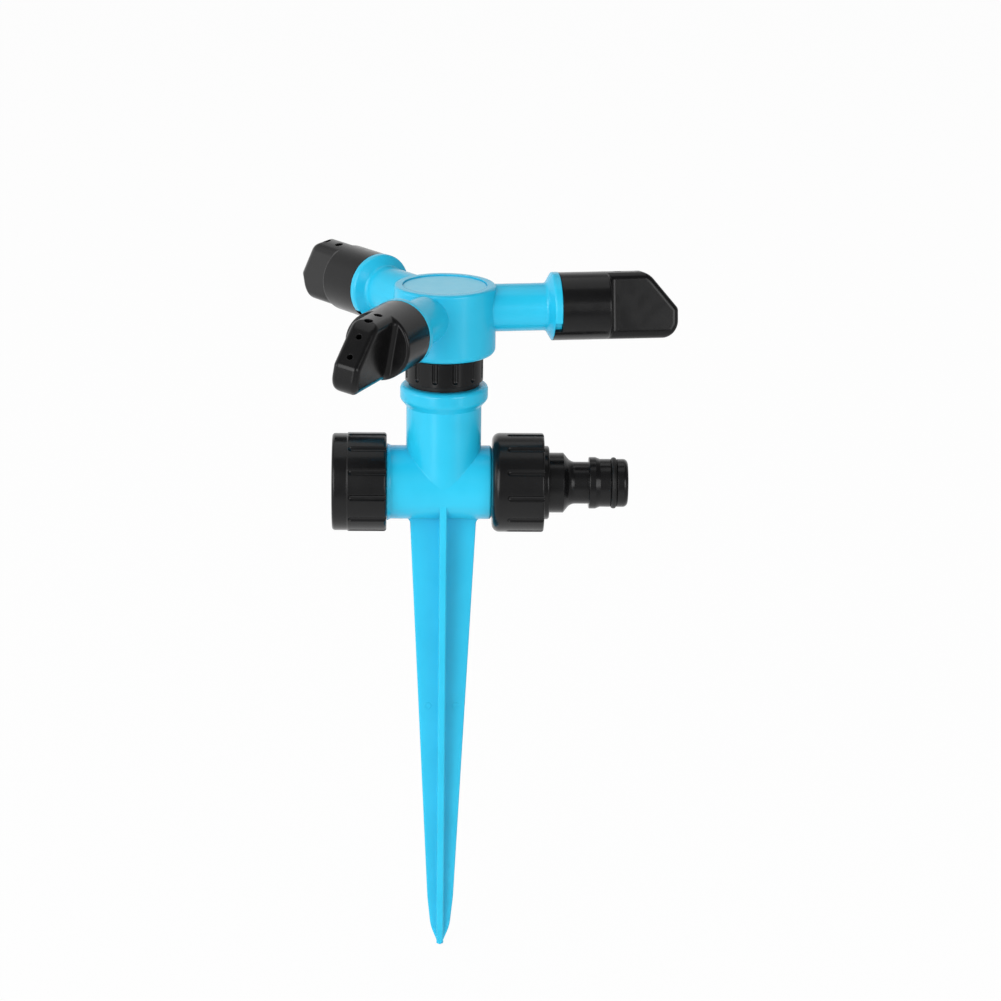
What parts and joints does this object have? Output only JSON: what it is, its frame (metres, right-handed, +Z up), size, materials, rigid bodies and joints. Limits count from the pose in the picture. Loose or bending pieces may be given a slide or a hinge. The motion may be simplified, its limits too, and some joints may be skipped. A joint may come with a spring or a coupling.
{
  "type": "rotary garden sprinkler",
  "caption": "Rotary garden sprinkler on a cross-ribbed ground spike: twist nozzles on freely turning arms, a water barrel with a screw end cap, and a click-on hose nipple held by a union nut.",
  "frame": {"origin": "on the rotor axis at ground level, which is the underside of the water barrel", "axes": "+Z up along the rotor and spike axis, +X along the barrel towards the hose nipple"},
  "size_m": [0.1256, 0.1365, 0.2378],
  "materials": {
    "blue plastic": "glossy moulded blue plastic",
    "pale blue plastic": "satin grey-blue plastic disc",
    "black plastic": "glossy moulded black plastic",
    "white nylon": "satin moulded nylon",
    "rubber": "matt black rubber"
  },
  "bodies": {
    "base": {"spike_body": "blue plastic"},
    "cap_seal": {"end_cap_washer": "rubber"},
    "end_cap": {"end_cap": "black plastic"},
    "inlet": {"inlet_nipple": "black plastic", "nipple_o_ring": "rubber", "inlet_washer": "rubber"},
    "union_nut": {"union_nut": "black plastic"},
    "neck_seal": {"neck_washer": "rubber"},
    "swivel": {"swivel_base": "black plastic", "upper_thrust_washer": "white nylon"},
    "rotor": {"rotor_hub": "blue plastic", "hub_cap": "pale blue plastic", "spindle": "white nylon", "spindle_o_ring": "rubber", "lower_thrust_washer": "white nylon", "nozzle_1_o_ring": "rubber", "nozzle_2_o_ring": "rubber", "nozzle_3_o_ring": "rubber"},
    "nozzle_1": {"nozzle_1": "black plastic"},
    "nozzle_2": {"nozzle_2": "black plastic"},
    "nozzle_3": {"nozzle_3": "black plastic"}
  },
  "joints": [
    {"name": "end_cap_travel", "type": "slide", "parent": "base", "child": "cap_seal", "axis": [-1, 0, 0], "range_m": [0, 0.0127]},
    {"name": "end_cap_turn", "type": "hinge", "parent": "cap_seal", "child": "end_cap", "pos_m": [-0.037, 0, 0.0123], "axis": [-1, 0, 0], "range_deg": [0, 2520]},
    {"name": "inlet_travel", "type": "slide", "parent": "base", "child": "inlet", "axis": [1, 0, 0], "range_m": [0, 0.00998]},
    {"name": "union_nut_turn", "type": "hinge", "parent": "inlet", "child": "union_nut", "pos_m": [0.0334, 0, 0.0123], "axis": [1, 0, 0], "range_deg": [0, 1980]},
    {"name": "swivel_travel", "type": "slide", "parent": "base", "child": "neck_seal", "axis": [0, 0, 1], "range_m": [0, 0.01451]},
    {"name": "swivel_turn", "type": "hinge", "parent": "neck_seal", "child": "swivel", "pos_m": [0, 0, 0.048], "axis": [0, 0, 1], "range_deg": [0, 2880]},
    {"name": "rotor_spin", "type": "hinge", "parent": "swivel", "child": "rotor", "pos_m": [0, 0, 0.05692], "axis": [0, 0, 1], "continuous": true},
    {"name": "nozzle_1_twist", "type": "hinge", "parent": "rotor", "child": "nozzle_1", "pos_m": [0.03768, 0.00423, 0.07177], "axis": [0.9938, 0.1115, 0], "range_deg": [-17.5, 17.5]},
    {"name": "nozzle_2_twist", "type": "hinge", "parent": "rotor", "child": "nozzle_2", "pos_m": [-0.0225, 0.03052, 0.07177], "axis": [-0.5934, 0.8049, 0], "range_deg": [-17.5, 17.5]},
    {"name": "nozzle_3_twist", "type": "hinge", "parent": "rotor", "child": "nozzle_3", "pos_m": [-0.01518, -0.03475, 0.07177], "axis": [-0.4003, -0.9164, 0], "range_deg": [-17.5, 17.5]}
  ],
  "couplings": [
    {"joint": "end_cap_turn", "follows": "end_cap_travel", "rad_per_m": 3463.1},
    {"joint": "union_nut_turn", "follows": "inlet_travel", "rad_per_m": 3463.1},
    {"joint": "swivel_turn", "follows": "swivel_travel", "rad_per_m": 3463.1}
  ]
}
